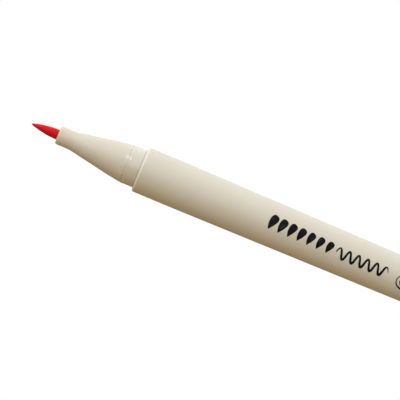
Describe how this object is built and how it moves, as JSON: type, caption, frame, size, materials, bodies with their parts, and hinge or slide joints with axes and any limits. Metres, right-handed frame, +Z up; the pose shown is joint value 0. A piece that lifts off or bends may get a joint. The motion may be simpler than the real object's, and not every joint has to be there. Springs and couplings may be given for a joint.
{
  "type": "brush pen",
  "caption": "Brush pen with a red flexible pointed tip, a cream conical nose and tapered barrel, its ink reservoir inside, and a red clip cap posted on the tail.",
  "frame": {"origin": "on the pen's long axis, at the barrel's front shoulder, where the cap's rim stops when it is closed", "axes": "+X along the pen from the tip to the tail, +Z up with the pen lying on a table at z = -5.3 mm, +Y completing the right-handed set; the clip leans towards -Y and down"},
  "size_m": [0.1609, 0.013, 0.0106],
  "materials": {
    "barrel_plastic": "satin moulded cream plastic",
    "section_plastic": "satin moulded cream plastic, glossier on the cap seat",
    "tip_fibre": "flexible porous tip, wet with red ink",
    "wick_fibre": "bundled fibre rod, red with ink",
    "reservoir_wadding": "fibre wadding, red with ink",
    "reservoir_film": "thin clear film",
    "cap_plastic": "glossy moulded red plastic",
    "print_ink": "pad-printed black ink on the barrel",
    "liner_plastic": "soft pale polyethylene"
  },
  "bodies": {
    "pen": {"barrel": "barrel_plastic", "front_section": "section_plastic", "relay_wick": "wick_fibre", "ink_reservoir": "reservoir_wadding", "reservoir_film": "reservoir_film", "tail_plug": "cap_plastic"},
    "brush_tip": {"brush_tip": "tip_fibre"},
    "cap": {"cap_shell": "cap_plastic", "inner_cap": "liner_plastic", "cap_crown": "cap_plastic"},
    "clip": {"pocket_clip": "cap_plastic"}
  },
  "joints": [
    {"name": "tip_flex", "type": "hinge", "parent": "pen", "child": "brush_tip", "pos_m": [-0.0198, 0, 0], "axis": [0, 1, 0], "range_deg": [-15, 15], "stiffness_Nm_per_rad": 0.006},
    {"name": "cap_pull", "type": "slide", "parent": "pen", "child": "cap", "axis": [1, 0, 0], "range_m": [0, 0.045]},
    {"name": "clip_flex", "type": "hinge", "parent": "cap", "child": "clip", "pos_m": [0.1264, -0.00409, -0.00231], "axis": [0, -0.4907, 0.8713], "range_deg": [0, 5], "stiffness_Nm_per_rad": 0.5}
  ]
}
